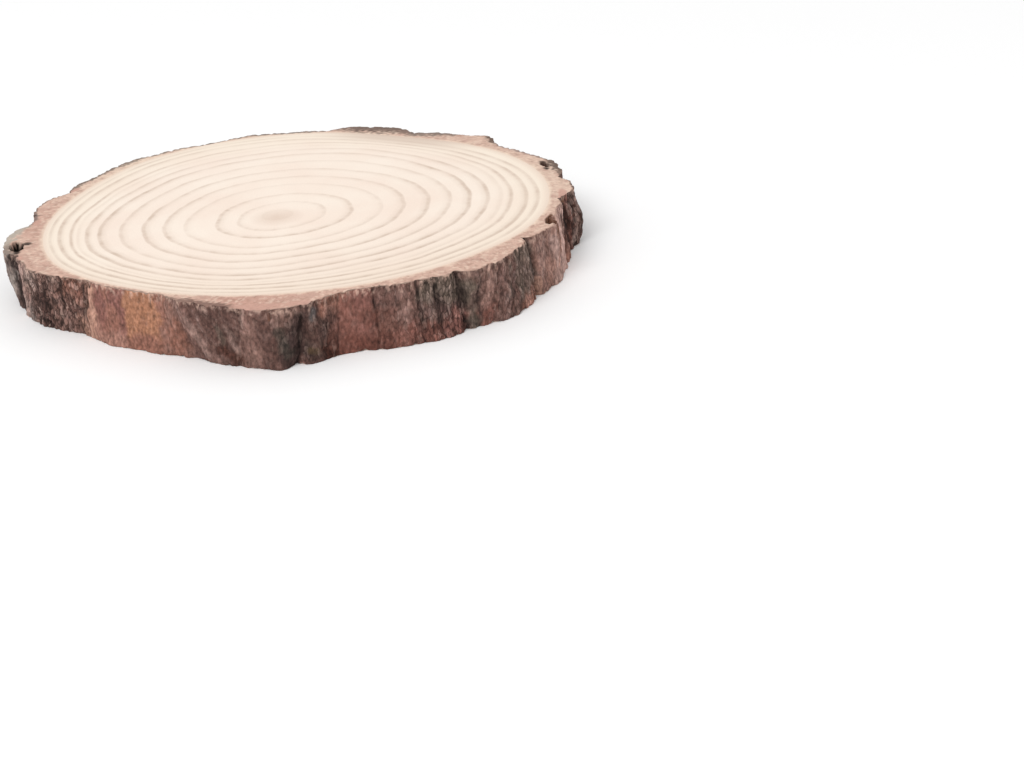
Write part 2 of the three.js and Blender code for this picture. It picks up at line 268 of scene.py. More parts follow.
# Streaks and dark cracks across the plates, the cracks near-black with painted shade: a path of bearings and
# heights, half width, colour and strength
Streak = namedtuple("Streak", "path half tint share")
STREAKS = (
    Streak(((206.1, 12.8), (205.6, 7.6), (203.8, 1.5)), 0.45, CREVICE_SHADE, 0.65),
    Streak(((210.5, 14.2), (209.9, 9.8), (208.1, 1.5)), 0.4, CREVICE_SHADE, 0.65),
    Streak(((216.2, 13.4), (216.2, 8.0), (214.6, 2.5)), 0.4, CREVICE_SHADE, 0.65),
    Streak(((245.6, 10.2), (249.8, 1.8)), 1.0, PALE_MAUVE, 0.45),
    Streak(((254.1, 9.8), (256.4, 4.0)), 0.8, PALE_MAUVE, 0.4),
    Streak(((252.8, 3.4), (257.2, 1.4)), 1.3, MAROON, 0.7),
    Streak(((252.6, 8.8), (253.6, 6.0)), 0.9, LICHEN, 0.5),
    Streak(((258.7, 14.6), (258.0, 10.5)), 0.4, BLUSH, 0.6),
    # A dark grey-green band low on the plate.
    Streak(((265.0, 9.0), (266.4, 3.6)), 1.5, DARK_GREY_GREEN, 0.55),
    Streak(((271.9, 13.0), (271.7, 11.2)), 0.8, SLATE, 0.6),
    Streak(((270.5, 3.6), (271.7, 2.8)), 0.8, OLIVE, 0.6),
    Streak(((286.8, 8.0), (286.6, 1.5)), 2.4, BRICK, 0.5),
    Streak(((293.8, 13.6), (293.7, 4.5)), 0.3, CREVICE_SHADE, 0.6),
    Streak(((297.4, 13.0), (297.8, 8.4)), 0.3, CREVICE_SHADE, 0.65),
    Streak(((302.5, 14.6), (302.4, 5.3), (303.5, 1.8), (305.9, 0.3)), 0.45, CREVICE_SHADE, 0.55),
    Streak(((305.7, 11.0), (306.5, 2.1)), 0.3, DARK_GREY_BROWN, 0.7),
    Streak(((324.6, 14.8), (322.6, 9.0), (323.2, 4.0)), 0.5, CREVICE_SHADE, 0.8),
    Streak(((325.3, 4.2), (325.2, 0.6)), 0.8, BUFF, 0.6),
    Streak(((329.6, 13.4), (328.4, 8.6), (326.2, 4.6)), 0.35, BLUSH, 0.5),
    Streak(((337.1, 15.4), (337.3, 10.5)), 2.6, RUST, 0.92),
    Streak(((336.8, 10.5), (337.6, 6.5)), 0.7, RUST, 0.65),
    # Dark maroon in that recess: the bark's colour and painted shade.
    Streak(((350.9, 13.6), (351.8, 9.5), (352.3, 6.6)), 0.8, WINE, 0.75),
    Streak(((350.4, 6.0), (351.6, 2.6)), 0.7, WINE, 0.6),
    Streak(((354.6, 10.0), (353.6, 3.0)), 0.5, PALE_MAUVE, 0.65),
    Streak(((355.6, 8.0), (355.4, 3.0)), 0.5, WINE, 0.6),
)
# Plates at the back, where the photograph doesn't reach: seed, bearing of the first one, and colours
BACK_SEED = 7
BACK_FIRST = 3.0
BACK_COLOURS = (UMBER, SMOKE, PLUM, RUSSET, LICHEN, MAUVE, COCOA)
# Hue of flecks that are lighter than their plate, and how much red, green and blue count in how light one is
FLECK_HUE = np.array([1.25, 1.0, 0.92])
LUMINANCE = np.array([0.21, 0.72, 0.07])
# Half width of a crack between plates, in millimetres
CRACK_HALF = 0.45

# Sawn bark: how pale it is by bearing, or how much darker where the number is under 0
CUT_PALENESS = (
    (0, 0.4), (12, 0.55), (24, 0.35), (42, 0.2), (56, 0.2), (80, 0.4), (110, 0.85), (135, 0.75), (150, 0.35),
    (162, -0.05), (172, -0.15), (190, 0.0), (215, -0.1), (235, 0.2), (246, 0.0), (256, -0.4), (266, -0.3),
    (275, -0.05), (290, 0.05), (310, 0.0), (335, 0.1), (350, 0.4),
)
# Splits that run in from the rim, painted dark with shade: bearing and length
SPLITS = (
    (20, 1.6), (58.5, 1.8), (166.8, 3.2), (204.2, 1.0), (270.5, 0.8), (286.5, 1.2), (302.6, 1.4),
    (324.4, 1.8),
)
# Stretches where the outer layer is wider or narrower: bearing, half length in degrees, extra and colour
Rim = namedtuple("Rim", "bearing half extra tint")
RIMS = (
    Rim(12, 5.5, 1.9, "54463f"), Rim(27, 8, 0.7, "a08a82"), Rim(38.5, 2.5, 1.4, "5c4a3f"),
    Rim(54, 6, 3.2, "7d6f66"), Rim(68.5, 8.5, 5.1, "68574f"), Rim(88, 10, 1.2, "72655c"),
    Rim(104, 9, 0.8, "665950"), Rim(122, 10, 1.0, "85766c"), Rim(140, 12, 1.0, "75675e"),
    Rim(168, 4, 0.6, "7a6a64"), Rim(180, 7, 2.2, "b5aca0"), Rim(188.5, 3, 1.4, "8a7d74"),
    Rim(250, 7.5, 1.3, "80645a"), Rim(330, 32, -0.15, "b39384"),
)
# Colours inside the pits, by bearing: painted shade in the two holes, rust-brown in the notch
PIT_TINTS = ((14.5, "4a332b"), (186.9, HOLE_SHADE), (336.6, RUST))
# Small holes, whose near-black is painted shade, and stains: bearing, distance from the middle, half size
# across and round, and colour
Spot = namedtuple("Spot", "bearing reach across round tint")
SPOTS = (
    Spot(186.8, 70.0, 1.3, 2.6, HOLE_SHADE), Spot(186.0, 67.9, 1.2, 1.5, HOLE_SHADE),
    Spot(190.2, 70.6, 0.8, 2.0, HOLE_SHADE), Spot(15.9, 70.7, 0.9, 1.8, HOLE_SHADE),
    Spot(11.6, 69.6, 0.8, 1.6, HOLE_SHADE), Spot(337.5, 68.6, 0.9, 3.0, RUST),
    Spot(260.6, 69.0, 2.6, 6.5, SALMON), Spot(269.2, 68.6, 1.7, 3.6, SALMON),
    Spot(172, 66.8, 1.2, 2.4, SALMON), Spot(149, 67.4, 0.9, 2.5, SALMON),
    Spot(194.3, 70.6, 0.9, 1.6, SALMON), Spot(353, 69.8, 1.5, 4.5, SALMON),
)
# Lobe whose rim is worn more: bearing, half length in degrees, and how much in millimetres
WORN_LOBE = (181, 8, 0.25)

# Stage, in metres: half size and grey of the floor, strength of the sky, and the key light
FLOOR_HALF = 20.0
FLOOR_GREY = 0.98
SKY_STRENGTH = 0.78
KEY_PLACE = (-1.0, -1.4, 1.8)
KEY_SIZE = 1.4
KEY_POWER = 27
NEAREST_SEEN = 0.01
FARTHEST_SEEN = 100


def linear(code):
    """Linear colour of an sRGB hex code."""
    parts = np.array([int(code[i:i + 2], 16) for i in (0, 2, 4)]) / 255
    return np.where(parts <= 0.04045, parts / 12.92, ((parts + 0.055) / 1.055) ** 2.4)


def rgba(code):
    return (*linear(code), 1.0)


def ramp(low, high, value):
    """Smooth step from 0 to 1."""
    share = np.clip((value - low) / (high - low), 0, 1)
    return share * share * (3 - 2 * share)


def mixed(first, second, share):
    return first + (second - first) * share[..., None]


def around(pairs, bearing):
    """Value at a bearing, read from pairs of a bearing and a value that go once round."""
    places, values = zip(*pairs)
    return np.interp(bearing % 360, places, values, period=360)


def degrees_apart(first, second):
    return (first - second + 180) % 360 - 180


# Noise that joins up after a full turn. A place on the trunk is a turn, from 0 to 1, and a height. Every call
# starts with a seed of its own.

def noise(seed, turn, height, wide, tall):
    """Gradient noise from about -1 to 1, with grains so wide round the trunk and so tall."""
    count = max(3, round(GIRTH / wide))
    across = (turn % 1.0) * count
    up = height / tall + 8
    rows = int(up.max()) + 3
    angle = np.random.default_rng(seed).uniform(0, 2 * math.pi, (count, rows))
    column = np.floor(across).astype(int)
    row = np.floor(up).astype(int)
    beside, above = across - column, up - row

    def corner(right, higher):
        lean = angle[(column + right) % count, row + higher]
        return np.cos(lean) * (beside - right) + np.sin(lean) * (above - higher)

    ease_across = beside ** 3 * (beside * (beside * 6 - 15) + 10)
    ease_up = above ** 3 * (above * (above * 6 - 15) + 10)
    lower = corner(0, 0) + (corner(1, 0) - corner(0, 0)) * ease_across
    upper = corner(0, 1) + (corner(1, 1) - corner(0, 1)) * ease_across
    return 1.6 * (lower + (upper - lower) * ease_up)


def layered_noise(seed, turn, height, wide, tall, layers=3):
    """Noise with finer noise on it."""
    total = 0
    for layer in range(layers):
        total = total + noise(seed + layer, turn, height, wide / 2 ** layer, tall / 2 ** layer) / 2 ** layer
    return total


def cells(seed, turn, height, wide, tall):
    """Scattered scales: how far a place is from the edge of its scale, and a random number of that scale."""
    count = max(3, round(GIRTH / wide))
    across = (turn % 1.0) * count
    up = height / tall + 8
    rows = int(up.max()) + 3
    draw = np.random.default_rng(seed)
    jitter = draw.random((2, count, rows))
    marks = draw.random((count, rows))
    column = np.floor(across).astype(int)
    row = np.floor(up).astype(int)
    nearest = np.full(across.shape, 9.0)
    second = nearest.copy()
    mark = np.zeros(across.shape)
    for right in (-1, 0, 1):
        for higher in (-1, 0, 1):
            c, r = (column + right) % count, row + higher
            apart = np.hypot(column + right + jitter[0, c, r] - across, r + jitter[1, c, r] - up)
            closer = apart < nearest
            second = np.where(closer, nearest, np.minimum(second, apart))
            mark = np.where(closer, marks[c, r], mark)
            nearest = np.minimum(nearest, apart)
    return second - nearest, mark


def smoothed_round(rows, steps):
    """Gaussian smoothing round the trunk."""
    count = rows.shape[-1]
    keep = np.exp(-2 * (math.pi * np.fft.rfftfreq(count) * steps) ** 2)
    return np.fft.irfft(np.fft.rfft(rows) * keep, count)


def smoothed_up(rows, times):
    for _ in range(times):
        padded = np.concatenate([rows[:1], rows, rows[-1:]])
        rows = (padded[:-2] + 2 * padded[1:-1] + padded[2:]) / 4
    return rows


def smoothed_tint(tint, steps):
    return np.stack([smoothed_round(tint[..., k], steps) for k in range(3)], -1)


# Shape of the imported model

def model_tree(node):
    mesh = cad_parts[node].data
    return BVHTree.FromPolygons([v.co for v in mesh.vertices], [p.vertices for p in mesh.polygons])


def outside_radius(node, bearings, heights):
    """Distance from the middle of the trunk to the outside of a node, for each height and bearing."""
    tree = model_tree(node)
    radius = np.zeros((len(heights), len(bearings)))
    for row, height in enumerate(np.clip(heights, RAY_INSET, THICKNESS - RAY_INSET)):
        middle = Vector((*TRUNK, height)) * MM
        for column, bearing in enumerate(np.radians(bearings + RAY_TURN)):
            outward = Vector((math.cos(bearing), math.sin(bearing), 0))
            start = middle + outward * RAY_START * MM
            radius[row, column] = RAY_START - tree.ray_cast(start, -outward)[3] / MM
    return radius


def pit_depth(x, y):
    """How far the upper face of the bark lies below the saw cut at each place."""
    tree = model_tree("bark")
    depth = np.zeros(x.shape)
    for place in np.ndindex(x.shape):
        start = Vector((x[place], y[place], 2 * THICKNESS)) * MM
        hit = tree.ray_cast(start, Vector((0, 0, -1)))
        if hit[0] is not None:
            depth[place] = THICKNESS - hit[0].z / MM
    return np.where(depth < THICKNESS / 2, depth, 0)


bearings = np.arange(BARK_STEPS) * 360 / BARK_STEPS
turns = bearings / 360
heights = np.linspace(0, THICKNESS, SIDE_ROWS)
toward = np.stack([np.cos(np.radians(bearings)), np.sin(np.radians(bearings))])
turn_grid, height_grid = np.meshgrid(turns, heights)
wood_edge = smoothed_round(outside_radius("wood", bearings, [THICKNESS / 2]), WOOD_SMOOTHING)[0]
wood_edge = wood_edge + GROWN_JOINT
bark_form = smoothed_round(outside_radius("bark", bearings, heights), BARK_SMOOTHING)
bark_form = smoothed_up(bark_form, BARK_SMOOTHING_UP)


def on_trunk(radius):
    """Places in plan at a radius for each bearing."""
    return TRUNK[0] + radius * toward[0], TRUNK[1] + radius * toward[1]


# Bark: plates, relief and colour

def back_plates():
    """Plates where the photograph doesn't reach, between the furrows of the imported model."""
    draw = np.random.default_rng(BACK_SEED)
    middle = bark_form[SIDE_ROWS // 2]
    sunk = smoothed_round(middle, 20) - middle
    lowest = (sunk > np.roll(sunk, 1)) & (sunk > np.roll(sunk, -1)) & (sunk > 0.2)
    found = [b for b in bearings[lowest] if BACK_FIRST < b < FRONT_PLATES[0].start]
    plates = []
    for start in [BACK_FIRST, *found]:
        base, mottle, streak = (str(code) for code in draw.choice(BACK_COLOURS, 3, replace=False))
        rough, crack = draw.uniform(0.3, 0.9), draw.uniform(0.3, 1.0)
        low = (draw.uniform(2, 6), str(draw.choice(BACK_COLOURS))) if draw.random() < 0.35 else None
        plates.append(Plate(start, 0, crack, rough, base, mottle, streak, low))
    return plates


plates = back_plates() + FRONT_PLATES


def plate_lines():
    """Bearing of each plate's starting crack at every height, with a wobble of its own."""
    level = heights / THICKNESS - 0.5
    lines = []
    for number, plate in enumerate(plates):
        place = np.full(SIDE_ROWS, number / len(plates))
        bend = 0.5 * noise(300 + number, place, heights, 9, 6)
        wobble = bend + 0.3 * noise(400 + number, place, heights, 9, 1.8)
        lines.append(plate.start + plate.lean * level + wobble)
    return np.array(lines)


def plate_of_each_place(lines, places):
    owner = np.zeros(places.shape, int)
    for row in range(SIDE_ROWS):
        owner[row] = np.searchsorted(np.sort(lines[:, row]), places[row] % 360, side="right") - 1
    return owner % len(plates)


def crack_depth(lines):
    """How deep the cracks between the plates cut, in millimetres, and how much painted shade darkens them."""
    deepest = np.zeros((SIDE_ROWS, BARK_STEPS))
    darkest = deepest.copy()
    for number, (line, plate) in enumerate(zip(lines, plates)):
        place = np.full(SIDE_ROWS, number / len(plates))
        whole = np.clip(0.85 + 0.5 * noise(500 + number, place, heights, 9, 3), 0, 1)[:, None]
        beside = degrees_apart(bearings[None, :], line[:, None]) / 360 * GIRTH
        deepest = np.maximum(deepest, plate.crack * np.exp(-(beside / CRACK_HALF) ** 2))
        shade = min(0.92, 2.5 * plate.crack) * whole * np.exp(-(beside / (0.25 + 0.25 * plate.crack)) ** 2)
        darkest = np.maximum(darkest, shade)
    return deepest, darkest


def per_plate(owner, values):
    return np.array(values)[owner]


def worn_edge(seed):
    """How far the outer edge of a sawn face is worn down at each bearing."""
    level = np.zeros(BARK_STEPS)
    chips = np.clip(layered_noise(seed, turns, level, 5, 9), 0, 1)
    nicks = ramp(0.1, 0.7, noise(seed + 5, turns, level, 2.0, 9))
    return 0.1 + 0.22 * chips + 0.45 * nicks


Grain = namedtuple("Grain", "rough lift seams flake flake_seams cracklet fleck speck stripe patch")


def bark_grain(owner):
    """Patterns of the bark's surface: large and small scales, cracks inside plates, flecks and patches."""
    rough = smoothed_round(per_plate(owner, [p.rough for p in plates]), 4)
    slant = smoothed_round(per_plate(owner, [p.slant for p in plates]), 12)
    turn = turn_grid + slant * height_grid / GIRTH
    bent_turn = turn + 0.9 * layered_noise(11, turn_grid, height_grid, 5, 6) / GIRTH
    bent_height = height_grid + 1.2 * layered_noise(12, turn_grid, height_grid, 5, 6)
    broken = ramp(-0.3, 0.3, noise(45, turn_grid, height_grid, 5, 7))
    edge, lift = cells(21, bent_turn, bent_height, 4.0, 8)
    flake_edge, flake = cells(22, bent_turn, bent_height, 1.5, 2.8)
    winding = noise(55, bent_turn, bent_height, 2.6, 8)
    return Grain(
        rough, lift, broken * np.exp(-(edge / 0.1) ** 2),
        flake, np.exp(-(flake_edge / 0.2) ** 2),
        np.exp(-(winding / 0.1) ** 2) * ramp(0.0, 0.5, noise(56, turn_grid, height_grid, 4, 5)),
        np.tanh(2 * noise(36, bent_turn, bent_height, 0.9, 2.2)),
        noise(41, turn_grid, height_grid, 0.7, 0.8),
        layered_noise(31, turn, height_grid, 2.6, 20),
        layered_noise(71, bent_turn, bent_height, 5, 8, 4),
    )


def bark_relief(grain, owner, crack):
    """Height of the surface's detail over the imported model."""
    relief = grain.rough * (0.4 * (grain.lift - 0.6) - 0.3 * grain.seams - 0.35 * grain.cracklet)
    relief += grain.rough * (0.3 * (grain.flake - 0.5) - 0.2 * grain.flake_seams)
    relief += 0.1 * grain.stripe + 0.04 * grain.speck + 0.06 * grain.rough * grain.fleck
    chips = np.clip(noise(95, turn_grid, height_grid, 1.7, 1.6), 0, 1)
    chips = chips * ramp(THICKNESS - 2.5, THICKNESS, height_grid)
    relief -= (0.2 + 0.5 * grain.rough) * chips
    offsets = np.random.default_rng(BACK_SEED).uniform(-0.15, 0.1, len(plates))
    return relief + smoothed_round(per_plate(owner, offsets), 1.0) - 0.8 * crack


def streak_share(streak):
    """How much of a streak's colour shows at each place on the side."""
    stretch = np.array([GIRTH / 360, 1])
    places = np.stack([turn_grid * 360, height_grid], -1) * stretch
    nearest = np.full(turn_grid.shape, np.inf)
    for first, last in zip(streak.path, streak.path[1:]):
        along = (np.array(last) - first) * stretch
        beyond = places - np.array(first) * stretch
        part = np.clip(beyond @ along / (along @ along), 0, 1)
        nearest = np.minimum(nearest, np.linalg.norm(beyond - part[..., None] * along, axis=-1))
    ragged = 0.5 * layered_noise(83, turn_grid, height_grid, 2, 3)
    return streak.share * ramp(1.4, 0.4, nearest / streak.half + ragged)


def plate_tint(grain, owner):
    """Colours of the plates, before their flecks and cracks."""
    base = per_plate(owner, [linear(plate.base) for plate in plates])
    mottle = per_plate(owner, [linear(plate.mottle) for plate in plates])
    streak = per_plate(owner, [linear(plate.streak) for plate in plates])
    tint = mixed(base, mottle, 0.75 * ramp(-0.1, 0.5, grain.patch))
    tint = mixed(tint, streak, 0.7 * ramp(0.25, 0.85, 0.7 * grain.stripe + 0.45 * grain.fleck))
    ragged = height_grid + 2.2 * layered_noise(81, turn_grid, height_grid, 4, 5)
    for number, plate in enumerate(plates):
        if plate.low:
            share = np.where(owner == number, ramp(1.6, -1.6, ragged - plate.low[0]), 0)
            tint = mixed(tint, linear(plate.low[1]), share)
        if plate.high:
            share = np.where(owner == number, ramp(-1.6, 1.6, ragged - plate.high[0]), 0)
            tint = mixed(tint, linear(plate.high[1]), 0.85 * share)
    return smoothed_tint(tint, 1.3)


def fleck_tone(tint, tone):
    """Colours made darker by a tone under 1, or lighter and greyer by one over 1."""
    lighter = np.maximum(tone - 1, 0) * (tint @ LUMINANCE)
    return tint * np.minimum(tone, 1)[..., None] + lighter[..., None] * FLECK_HUE


def bark_tint(grain, owner, hollow, crack_shade):
    """Colours of the side: plates with flecks, painted shade towards the foot, a paler rim, dark seams,
    painted shade in cracks and hollows, then the streaks.
    """
    scaly = 0.2 + 0.8 * ramp(0.15, 1.0, grain.rough)
    tone = 1 + scaly * (0.35 * (grain.lift - 0.5) + 0.75 * (grain.flake - 0.5) + 0.35 * grain.fleck)
    # Painted shade: the side is darker towards its foot and lighter towards the top.
    tone = (tone + 0.18 * grain.speck) * (0.91 + 0.13 * height_grid / THICKNESS)
    tone = np.clip(tone, 0.35, 1.9)
    tint = fleck_tone(plate_tint(grain, owner), tone) * around(BARK_LIGHT, turn_grid * 360)[..., None]
    tint = tint * BARK_WARMTH
    ragged = height_grid + 0.8 * layered_noise(91, turn_grid, height_grid, 2.5, 3)
    near_rim = ramp(THICKNESS - 2.4, THICKNESS, ragged)
    tint = mixed(tint, linear(CUT), 0.65 * near_rim * ramp(-0.1, 0.6, grain.fleck + 0.5 * grain.speck))
    # Seams go dark, and cracks and hollows get painted shade, all mixed toward the crevice shade colour.
    dark = scaly * np.maximum(0.55 * grain.seams, 0.4 * grain.flake_seams)
    dark = np.maximum(dark, 0.75 * scaly * grain.cracklet)
    dark = np.maximum(dark, crack_shade)
    dark = np.maximum(dark, 0.65 * ramp(0.5, 2.0, hollow))
    tint = mixed(tint, linear(CREVICE_SHADE), dark)
    for streak in STREAKS:
        tint = mixed(tint, linear(streak.tint), streak_share(streak))
    return tint


Bark = namedtuple("Bark", "radius tint rough")


def make_bark_surface():
    lines = plate_lines()
    stray = around(PLATE_STRAY, turn_grid * 360) * layered_noise(15, turn_grid, height_grid, 3, 4)
    owner = plate_of_each_place(lines, turn_grid * 360)
    ragged_owner = plate_of_each_place(lines, turn_grid * 360 + stray)
    crack, crack_shade = crack_depth(lines)
    grain = bark_grain(owner)
    radius = np.maximum(bark_form + bark_relief(grain, owner, crack), wood_edge + THINNEST_BARK)
    # How far each place lies below its smoothed surface, darkened below as painted shade.
    hollow = smoothed_round(radius, 14) - radius
    return Bark(radius, bark_tint(grain, ragged_owner, hollow, crack_shade), grain.rough)


def outer_layer(turn):
    """Width and colour of the outer layer of the bark as seen on a sawn face."""
    width = 0.4 + 0.15 * layered_noise(104, turn, np.zeros(turn.shape), 6, 9)
    tint = np.broadcast_to(linear(RIM), (*turn.shape, 3))
    for rim in RIMS:
        bump = np.exp(-(degrees_apart(turn * 360, rim.bearing) / rim.half) ** 4)
        width = width + rim.extra * bump
        tint = mixed(tint, linear(rim.tint), bump)
    return width, tint


def spotted(tint, turn, radius):
    """Colours of a sawn face with its small holes and stains added."""
    ragged = 0.35 * noise(113, turn, radius, 1.5, 1.5)
    for spot in SPOTS:
        beside = degrees_apart(turn * 360, spot.bearing) / 360 * GIRTH
        apart = np.hypot(beside / spot.round, (radius - spot.reach) / spot.across)
        tint = mixed(tint, linear(spot.tint), 0.9 * ramp(1.2, 0.6, apart + ragged))
    return tint


def pit_tint(turn):
    """Colour inside the nearest pit: painted shade in the holes, rust-brown in the notch."""
    apart = np.stack([np.abs(degrees_apart(turn * 360, bearing)) for bearing, _ in PIT_TINTS])
    return np.array([linear(code) for _, code in PIT_TINTS])[apart.argmin(0)]


def split_darkness(turn, from_rim):
    dark = np.zeros(turn.shape)
    for number, (bearing, length) in enumerate(SPLITS):
        bend = 0.5 * noise(120 + number, turn * 0 + 0.5, from_rim, 9, 1.2)
        beside = degrees_apart(turn * 360, bearing) / 360 * GIRTH + bend
        taper = 0.45 * np.clip(1 - from_rim / length, 0, 1) + 0.02
        dark = np.maximum(dark, np.exp(-(beside / taper) ** 2) * ramp(length, length * 0.6, from_rim))
    return dark


def cut_tint(turn, radius, from_rim, pit):
    """Colour of the sawn bark: pale by the wood, then pinkish with specks, and a darker rim."""
    from_wood = radius - wood_edge
    cloud = layered_noise(102, turn, radius, 4, 4, 4)
    layers = noise(101, turn, from_wood, 10, 0.9)
    _, speck = cells(103, turn, radius, 0.8, 0.8)
    pink = np.broadcast_to(linear(CUT), (*turn.shape, 3))
    tint = mixed(pink, linear(CUT_PALE), around(CUT_PALENESS, turn * 360))
    tint = mixed(tint, linear(CUT_DARK), np.clip(0.2 + 0.5 * cloud + 0.2 * layers, 0, 1))
    tint = mixed(tint, linear(CUT_SPECK), 0.28 * ramp(0.8, 0.92, speck))
    tint = mixed(tint, linear(CUT_PALE), 0.4 * ramp(0.28, 0.12, speck))
    tint = mixed(tint, linear(CUT_PALE), 0.85 * ramp(1.1, 0.0, from_wood + 0.4 * cloud))
    width, rim = outer_layer(turn)
    crumb = np.tanh(2 * noise(114, turn, radius, 1.4, 0.9))
    tint = mixed(tint, rim, 0.9 * ramp(1.4, 0.5, from_rim / width + 0.3 * cloud + 0.4 * crumb))
    # Painted shade in the splits.
    tint = mixed(tint, linear(CREVICE_SHADE), 0.85 * split_darkness(turn, from_rim))
    tint = spotted(tint, turn, radius)
    return mixed(tint, pit_tint(turn), ramp(0.02, 0.4, pit))


def cut_shares(count):
    """Shares of the way from the rim to the wood, closer together at the rim."""
    return (np.arange(1, count + 1) / count) ** 1.3


def make_cut_face(rim, shares, worn, pitted):
    """Rows of places in plan, depths below the saw cut and colours, from the rim in to the wood."""
    share = shares[:, None]
    radius = rim + (wood_edge - rim) * share
    turn = np.broadcast_to(turns, radius.shape)
    from_rim = rim - radius
    from_layer = np.maximum(smoothed_round(rim, 4) - radius, 0)
    x, y = on_trunk(radius)
    pit = np.zeros(radius.shape)
    if pitted:
        stray = 0.5 * noise(111, turn, radius, 1.6, 1.6)
        pit = pit_depth(x + stray, y - stray)
        # The last row meets the wood, so it stays level with it
        pit[-1] = 0
    rounding = worn * np.clip(1 - from_rim / (0.5 + 1.3 * worn), 0, 1) ** 2
    torn = 0.12 * np.clip(layered_noise(112, turn, radius, 3, 3), 0, 1) * (1 - share)
    drop = np.maximum(pit, rounding + torn)
    return x, y, drop, cut_tint(turn, radius, from_layer, pit)


def closed_ring(points, name):
    """Mesh of a ring from rows of points, each row going once round, and the last joined to the first."""
    rows, steps = points.shape[:2]
    here = np.arange(rows * steps).reshape(rows, steps)
    right = np.roll(here, -1, 1)
    quads = np.stack([here, right, np.roll(right, -1, 0), np.roll(here, -1, 0)], -1).reshape(-1, 4)
    return new_mesh(points.reshape(-1, 3), quads.tolist(), name)


def new_mesh(points, faces, name):
    mesh = bpy.data.meshes.new(name)
    mesh.from_pydata((points * MM).tolist(), [], faces)
    mesh.polygons.foreach_set("use_smooth", np.ones(len(mesh.polygons), bool))
    mesh.set_sharp_from_angle(angle=SHARP_EDGE)
    return mesh


def paint(mesh, name, colours):
    layer = mesh.attributes.new(name, "FLOAT_COLOR", "POINT")
    whole = np.concatenate([colours, np.ones((len(colours), 1))], 1)
    layer.data.foreach_set("color", whole.astype(np.float32).ravel())


def store(mesh, name, values):
    layer = mesh.attributes.new(name, "FLOAT", "POINT")
    layer.data.foreach_set("value", values.astype(np.float32).ravel())


def add_piece(mesh, node, material):
    mesh.materials.append(material)
    piece = bpy.data.objects.new(f"{node}_surface", mesh)
    bpy.context.scene.collection.objects.link(piece)
    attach(piece, "root")
    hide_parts(node)
    return piece


def ring_uv(mesh, spans):
    """Flat map of a closed ring: its rows, as tall as they are apart, in strips laid above each other."""
    rows = len(spans)
    v_high = np.cumsum(spans) / sum(spans)
    v_low = np.concatenate([[0], v_high[:-1]])
    strip_steps = BARK_STEPS // UV_STRIPS
    step = np.arange(BARK_STEPS)
    strip = step // strip_steps
    u_left = (step % strip_steps) / strip_steps
    u_right = u_left + 1 / strip_steps
    inner = 1 - 2 * UV_MARGIN
    uv = np.zeros((rows, BARK_STEPS, 4, 2))
    for corner, (u, v) in enumerate(((u_left, v_low), (u_right, v_low), (u_right, v_high), (u_left, v_high))):
        uv[:, :, corner, 0] = UV_MARGIN + inner * u[None, :]
        uv[:, :, corner, 1] = (strip[None, :] + UV_MARGIN + inner * v[:, None]) / UV_STRIPS
    layer = mesh.uv_layers.new(name="OFBake")
    layer.data.foreach_set("uv", uv.astype(np.float32).ravel())


def make_bark(material):
    bark = make_bark_surface()
    lobe, half, wear = WORN_LOBE
    worn_top = worn_edge(51) + wear * np.exp(-(degrees_apart(bearings, lobe) / half) ** 4)
    worn_foot = worn_edge(61)
    low, high = worn_foot, THICKNESS - worn_top
    side_height = low + (high - low) * height_grid / THICKNESS
    side = np.stack([*on_trunk(bark.radius), side_height], -1)
    x, y, drop, top_tint = make_cut_face(bark.radius[-1], cut_shares(CUT_ROWS), worn_top, True)
    top = np.stack([x, y, THICKNESS - drop], -1)
    x, y, drop, foot_tint = make_cut_face(bark.radius[0], cut_shares(FOOT_ROWS), worn_foot, False)
    foot = np.stack([x, y, drop], -1)
    points = np.concatenate([side, top, foot[::-1]])
    points[..., :2] = np.clip(points[..., :2], BOX_LOW[:2], BOX_HIGH[:2])
    tint = np.concatenate([bark.tint, top_tint, foot_tint[::-1]])
    cut = np.ones(points.shape[:2])
    cut[:SIDE_ROWS] = 0
    rough = np.zeros(points.shape[:2])
    rough[:SIDE_ROWS] = bark.rough
    mesh = closed_ring(points, "bark_surface")
    paint(mesh, "tint", tint.reshape(-1, 3))
    store(mesh, "cut", cut)
    store(mesh, "rough", rough)
    side_spans = [THICKNESS / (SIDE_ROWS - 1)] * (SIDE_ROWS - 1)
    top_spans = [UV_TOP_ROOM / CUT_ROWS] * CUT_ROWS
    foot_spans = [UV_FOOT_ROOM / FOOT_ROWS] * FOOT_ROWS
    ring_uv(mesh, side_spans + top_spans + [UV_JOINT_ROOM] + foot_spans)
    return add_piece(mesh, "bark", material)


# Wood: a disc whose rows of points follow the growth rings

